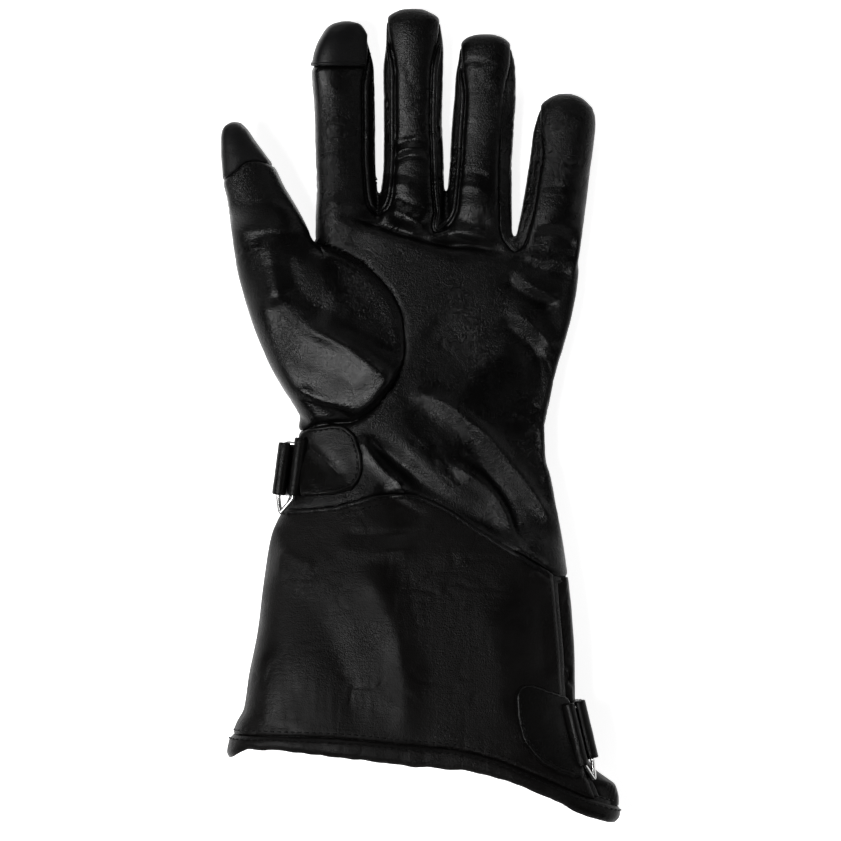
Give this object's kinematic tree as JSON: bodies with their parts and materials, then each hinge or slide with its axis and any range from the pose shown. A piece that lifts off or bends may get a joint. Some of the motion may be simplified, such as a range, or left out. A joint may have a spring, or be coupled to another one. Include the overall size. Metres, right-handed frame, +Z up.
{
  "type": "gauntlet glove",
  "caption": "Left-hand leather gauntlet glove with a long flared cuff, rolled hem, smooth touch fingertips and wrist and cuff adjustment straps on wire rings.",
  "frame": {"origin": "centre of the bounding box's footprint, on the surface that the glove's back lies on", "axes": "+Y towards the fingertips, +X towards the little finger, +Z up out of the palm; the back of the hand lies on Z = 0"},
  "size_m": [0.1716, 0.35, 0.0493],
  "materials": {
    "leather": "soft grained black leather, satin",
    "touch_leather": "smooth charcoal touch leather, satin",
    "trim_leather": "black strap leather, satin",
    "metal": "bright nickel-plated wire"
  },
  "bodies": {
    "root": {"palm_panel": "leather", "back_panel": "leather", "thumb_panel": "leather", "index_tip": "touch_leather", "thumb_tip": "touch_leather", "fourchette_index_middle": "leather", "fourchette_middle_ring": "leather", "fourchette_ring_little": "leather", "cuff_palm": "leather", "cuff_back": "leather", "cuff_gusset": "leather", "cuff_hem": "leather", "wrist_tab": "trim_leather", "wrist_ring": "metal", "wrist_strap": "trim_leather", "cuff_tab": "trim_leather", "cuff_ring": "metal", "cuff_strap": "trim_leather"}
  },
  "joints": []
}
